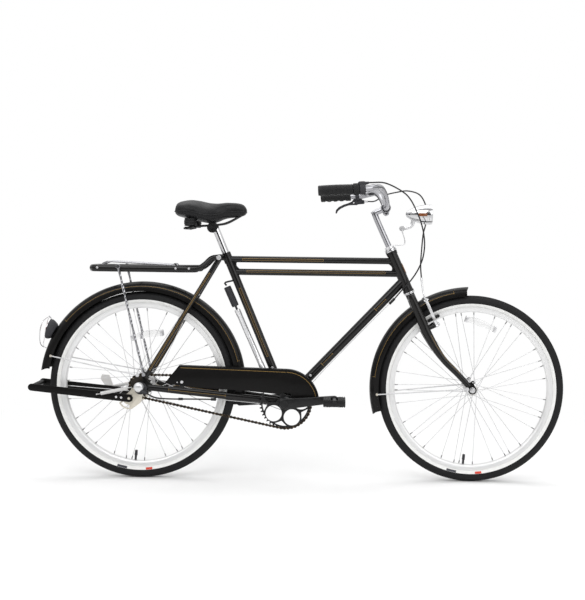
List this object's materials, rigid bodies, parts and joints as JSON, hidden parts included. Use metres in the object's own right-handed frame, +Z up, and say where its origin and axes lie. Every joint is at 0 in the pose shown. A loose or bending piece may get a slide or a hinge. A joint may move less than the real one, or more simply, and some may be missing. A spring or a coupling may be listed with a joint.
{
  "type": "city bicycle",
  "caption": "Upright city bicycle with twin top tubes, swept bars, mudguards, chain guard, rear rack, fold-up stand, headlamp and tail lamp.",
  "frame": {"origin": "on the ground, midway between the bicycle's front and rear ends, in its centre plane", "axes": "+X forward, +Y to the rider's left, +Z up; the drive side faces -Y"},
  "size_m": [1.8667, 0.5782, 1.0369],
  "materials": {
    "black_paint": "black gloss enamel with gold lines",
    "chrome": "polished",
    "alloy": "satin",
    "steel": "dull",
    "zinc_plate": "zinc plated",
    "tyre": "matt, with a white side wall",
    "rubber": "matt",
    "black_plastic": "fine grain",
    "black_steel": "black satin",
    "saddle_cover": "smooth black vinyl",
    "red_lens": "clear red",
    "chain_steel": "brown oiled steel"
  },
  "bodies": {
    "frame": {"head_tube": "black_paint", "headset_upper": "chrome", "headset_lower": "chrome", "upper_top_tube": "black_paint", "lower_top_tube": "black_paint", "down_tube": "black_paint", "seat_tube": "black_paint", "right_chainstay": "black_paint", "left_chainstay": "black_paint", "right_seatstay": "black_paint", "left_seatstay": "black_paint", "rear_mudguard": "black_paint", "rack": "black_paint", "tail_lamp": "red_lens", "chain_guard": "black_paint", "chain": "chain_steel", "pump_barrel": "chrome", "rear_axle": "chrome", "bell_crank_box": "black_plastic", "coaster_brake_arm": "steel", "gear_cable": "black_plastic", "right_stand_bracket": "zinc_plate", "left_stand_bracket": "zinc_plate"},
    "pump_plunger": {"pump_handle": "black_plastic"},
    "rack_spring_clip": {"rack_clip": "chrome"},
    "seat_pillar": {"seat_post": "chrome"},
    "saddle_assembly": {"saddle": "saddle_cover", "saddle_frame": "black_steel", "right_saddle_spring": "black_steel", "left_saddle_spring": "black_steel"},
    "steering": {"fork": "black_paint", "stem": "chrome", "handlebar": "chrome", "right_grip": "rubber", "left_grip": "rubber", "lever_bracket": "black_plastic", "brake_cable": "black_plastic", "front_mudguard": "black_paint", "front_axle": "chrome", "lamp_bracket": "chrome", "gear_shifter_body": "black_plastic"},
    "lamp": {"headlamp": "chrome"},
    "gear_twist": {"gear_twist_ring": "rubber"},
    "lever": {"brake_lever": "black_plastic"},
    "right_caliper_arm": {"right_brake_arm": "alloy"},
    "left_caliper_arm": {"left_brake_arm": "alloy"},
    "front_wheel": {"front_tyre": "tyre", "front_rim": "alloy", "front_hub": "steel"},
    "rear_wheel": {"rear_tyre": "tyre", "rear_rim": "alloy", "rear_hub": "steel"},
    "sprocket": {"rear_sprocket": "steel"},
    "cranks": {"drive_crank": "black_paint", "left_crank": "black_paint"},
    "right_pedal_block": {"right_pedal": "black_plastic"},
    "left_pedal_block": {"left_pedal": "black_plastic"},
    "kickstand": {"stand": "black_paint", "right_stand_spring": "steel", "left_stand_spring": "steel"}
  },
  "joints": [
    {"name": "steering_turn", "type": "hinge", "parent": "frame", "child": "steering", "pos_m": [0.3845, 0, 0.663], "axis": [-0.4147, 0, 0.91], "range_deg": [-70, 70], "deforming": ["gear_cable"]},
    {"name": "front_wheel_spin", "type": "hinge", "parent": "steering", "child": "front_wheel", "pos_m": [0.6065, 0, 0.3265], "axis": [0, 1, 0], "continuous": true},
    {"name": "rear_wheel_spin", "type": "hinge", "parent": "frame", "child": "rear_wheel", "pos_m": [-0.5475, 0, 0.3265], "axis": [0, 1, 0], "continuous": true},
    {"name": "crank_spin", "type": "hinge", "parent": "frame", "child": "cranks", "pos_m": [-0.0425, 0, 0.2735], "axis": [0, 1, 0], "continuous": true},
    {"name": "sprocket_spin", "type": "hinge", "parent": "frame", "child": "sprocket", "pos_m": [-0.5475, 0, 0.3265], "axis": [0, 1, 0], "continuous": true},
    {"name": "right_pedal_spin", "type": "hinge", "parent": "cranks", "child": "right_pedal_block", "pos_m": [0.12756, -0.133, 0.29137], "axis": [0, 1, 0], "continuous": true},
    {"name": "left_pedal_spin", "type": "hinge", "parent": "cranks", "child": "left_pedal_block", "pos_m": [-0.21256, 0.133, 0.25563], "axis": [0, 1, 0], "continuous": true},
    {"name": "brake_lever_pull", "type": "hinge", "parent": "steering", "child": "lever", "pos_m": [0.19082, 0.26675, 0.98697], "axis": [0.0688, 0.9375, 0.3412], "range_deg": [0, 20], "stiffness_Nm_per_rad": 0.6},
    {"name": "right_brake_close", "type": "hinge", "parent": "steering", "child": "right_caliper_arm", "pos_m": [0.481, -0.04, 0.5515], "axis": [-0.91, 0, -0.4147], "range_deg": [0, 3]},
    {"name": "left_brake_close", "type": "hinge", "parent": "steering", "child": "left_caliper_arm", "pos_m": [0.481, 0.04, 0.5515], "axis": [0.91, 0, 0.4147], "range_deg": [0, 3]},
    {"name": "gear_twist_turn", "type": "hinge", "parent": "steering", "child": "gear_twist", "pos_m": [0.20034, -0.25761, 1.01018], "axis": [-0.9938, -0.0945, -0.0593], "range_deg": [-30, 30]},
    {"name": "lamp_tilt", "type": "hinge", "parent": "steering", "child": "lamp", "pos_m": [0.3578, 0, 0.886], "axis": [0, 1, 0], "range_deg": [-15, 15]},
    {"name": "seat_height", "type": "slide", "parent": "frame", "child": "seat_pillar", "axis": [-0.3907, 0, 0.9205], "range_m": [-0.04, 0.04]},
    {"name": "saddle_tilt", "type": "hinge", "parent": "seat_pillar", "child": "saddle_assembly", "pos_m": [-0.3085, 0, 0.881], "axis": [0, 1, 0], "range_deg": [-10, 10]},
    {"name": "rack_clip_lift", "type": "hinge", "parent": "frame", "child": "rack_spring_clip", "pos_m": [-0.4375, 0, 0.7475], "axis": [0, 1, 0], "range_deg": [0, 70], "stiffness_Nm_per_rad": 0.4, "springref_deg": -17.19},
    {"name": "stand_swing", "type": "hinge", "parent": "frame", "child": "kickstand", "pos_m": [-0.5825, 0, 0.286], "axis": [0, -1, 0], "range_deg": [0, 124], "deforming": ["right_stand_spring", "left_stand_spring"]},
    {"name": "pump_press", "type": "slide", "parent": "frame", "child": "pump_plunger", "axis": [0.4125, 0, -0.911], "range_m": [0, 0.012], "stiffness_N_per_m": 400, "springref_m": -0.01}
  ],
  "couplings": [
    {"joint": "sprocket_spin", "follows": "crank_spin", "ratio": 2.3158},
    {"joint": "right_brake_close", "follows": "brake_lever_pull", "ratio": 0.15},
    {"joint": "left_brake_close", "follows": "brake_lever_pull", "ratio": 0.15}
  ]
}
